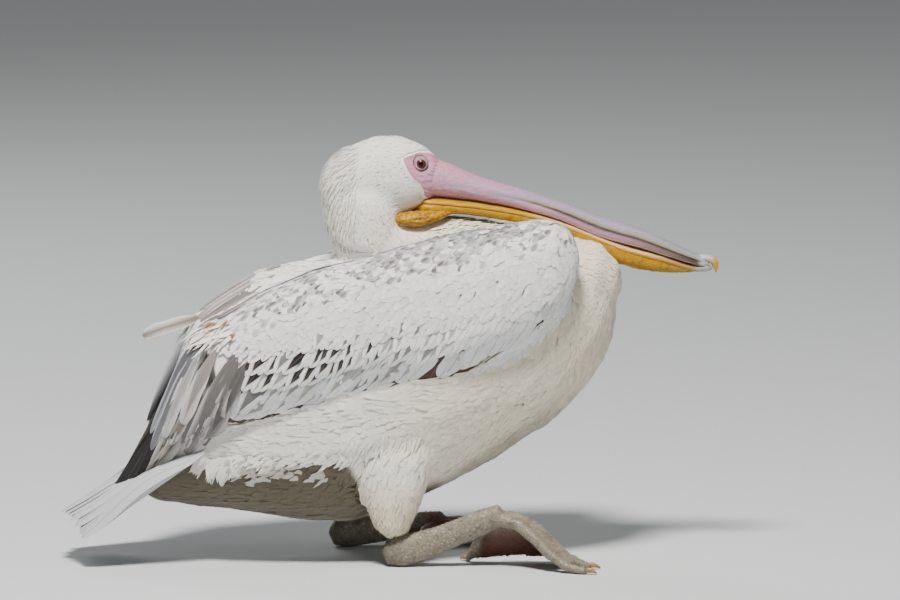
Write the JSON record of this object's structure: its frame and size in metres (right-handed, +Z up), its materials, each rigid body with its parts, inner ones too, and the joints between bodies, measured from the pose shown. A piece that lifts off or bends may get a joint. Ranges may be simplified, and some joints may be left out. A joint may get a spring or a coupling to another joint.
{
  "type": "great white pelican",
  "caption": "Life-size pelican resting back on its heels, wings folded, neck drawn in and long bill laid along it, as a still display model.",
  "frame": {"origin": "on the floor under the middle of the bird's length and width", "axes": "+X forward, where the bill points; +Y the bird's left; +Z up"},
  "size_m": [0.8002, 0.3142, 0.517],
  "materials": {
    "plumage": "soft cream-white contour feathers",
    "wing_feathers": "white and grey wing coverts with dark wedge marks",
    "quills": "grey and blackish long wing feathers",
    "bill": "lavender-grey horn, softly glossy",
    "pouch_skin": "yellow bare skin",
    "horn": "yellow horn of the bill's nail and the claws",
    "eye": "dark red-brown iris under a wet cornea",
    "leg_skin": "grey-beige scaly skin"
  },
  "bodies": {
    "root": {"trunk": "plumage", "neck_lower": "plumage", "neck_upper": "plumage", "head": "plumage", "thigh_right": "plumage", "thigh_left": "plumage", "tail": "plumage", "rump_feather": "plumage", "wing_right": "wing_feathers", "wing_left": "wing_feathers", "wing_tip_right": "quills", "wing_tip_left": "quills", "bill_upper": "bill", "bill_lower": "pouch_skin", "pouch": "pouch_skin", "bill_nail": "horn", "eye_right": "eye", "eye_left": "eye", "tarsus_right": "leg_skin", "tarsus_left": "leg_skin", "foot_right": "leg_skin", "foot_left": "leg_skin", "claw_right_outer": "horn", "claw_right_middle": "horn", "claw_right_inner": "horn", "claw_right_hind": "horn", "claw_left_outer": "horn", "claw_left_middle": "horn", "claw_left_inner": "horn", "claw_left_hind": "horn"}
  },
  "joints": []
}
